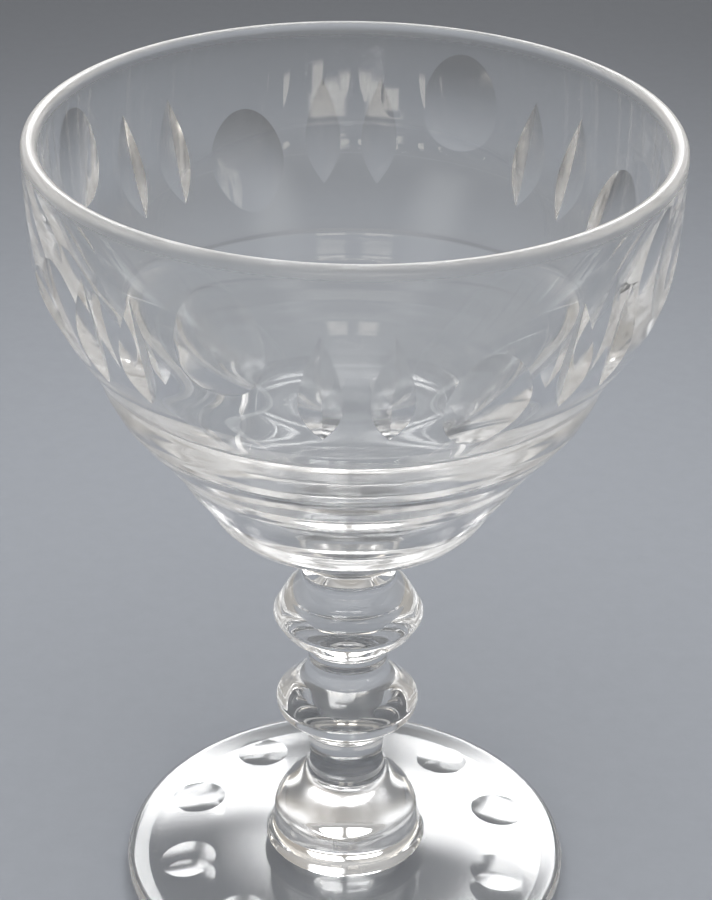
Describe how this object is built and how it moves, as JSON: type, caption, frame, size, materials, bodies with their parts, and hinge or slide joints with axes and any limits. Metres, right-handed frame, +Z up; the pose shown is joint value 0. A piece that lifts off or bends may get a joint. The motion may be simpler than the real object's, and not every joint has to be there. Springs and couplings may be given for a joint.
{
  "type": "sherbet glass",
  "caption": "Clear stemmed sherbet glass: wide bowl with cut ovals and a ring-cut base, stem with ring knops and a bell collar, round foot.",
  "frame": {"origin": "centre of the foot's resting plane", "axes": "+Z up along the glass's axis; -Y faces the camera of the picture"},
  "size_m": [0.0902, 0.0902, 0.124],
  "materials": {
    "bowl_glass": "clear, fire-polished, with polished cuts",
    "upper_knop_glass": "clear, fire-polished",
    "lower_knop_glass": "clear, fire-polished",
    "collar_glass": "clear, fire-polished",
    "foot_glass": "clear, fire-polished, with polished cuts"
  },
  "bodies": {
    "root": {"bowl": "bowl_glass", "upper_knop": "upper_knop_glass", "lower_knop": "lower_knop_glass", "foot_collar": "collar_glass", "foot": "foot_glass"}
  },
  "joints": []
}
